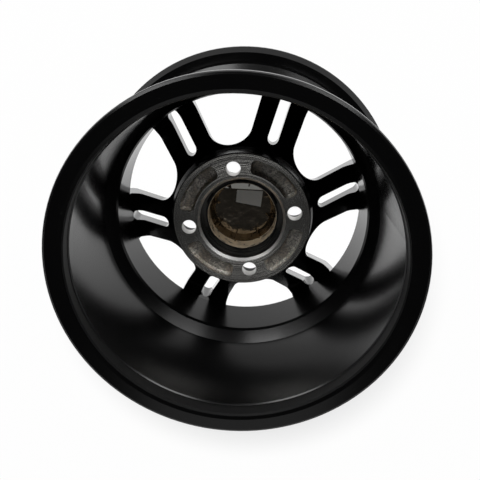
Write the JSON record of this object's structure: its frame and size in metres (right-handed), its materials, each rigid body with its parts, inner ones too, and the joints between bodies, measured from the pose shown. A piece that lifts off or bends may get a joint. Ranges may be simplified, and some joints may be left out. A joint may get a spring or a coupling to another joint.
{
  "type": "alloy wheel",
  "caption": "Cast alloy wheel with a deep barrel, split spokes sloping out to the front, a machined hub pad with lug holes and a snap-in centre cap.",
  "frame": {"origin": "centre of the hub's mounting pad, on the wheel's axis", "axes": "+Z along the wheel's axis, pointing inboard; +X through a lug hole and the middle of a spoke pair; the wheel lies on the fronts of its spokes"},
  "size_m": [0.332, 0.3318, 0.2152],
  "materials": {
    "wheel_casting": "satin black paint over cast aluminium, hub pad machined bare",
    "cap_plating": "smoked bright plating on moulded plastic"
  },
  "bodies": {
    "root": {"wheel": "wheel_casting", "centre_cap": "cap_plating"}
  },
  "joints": []
}
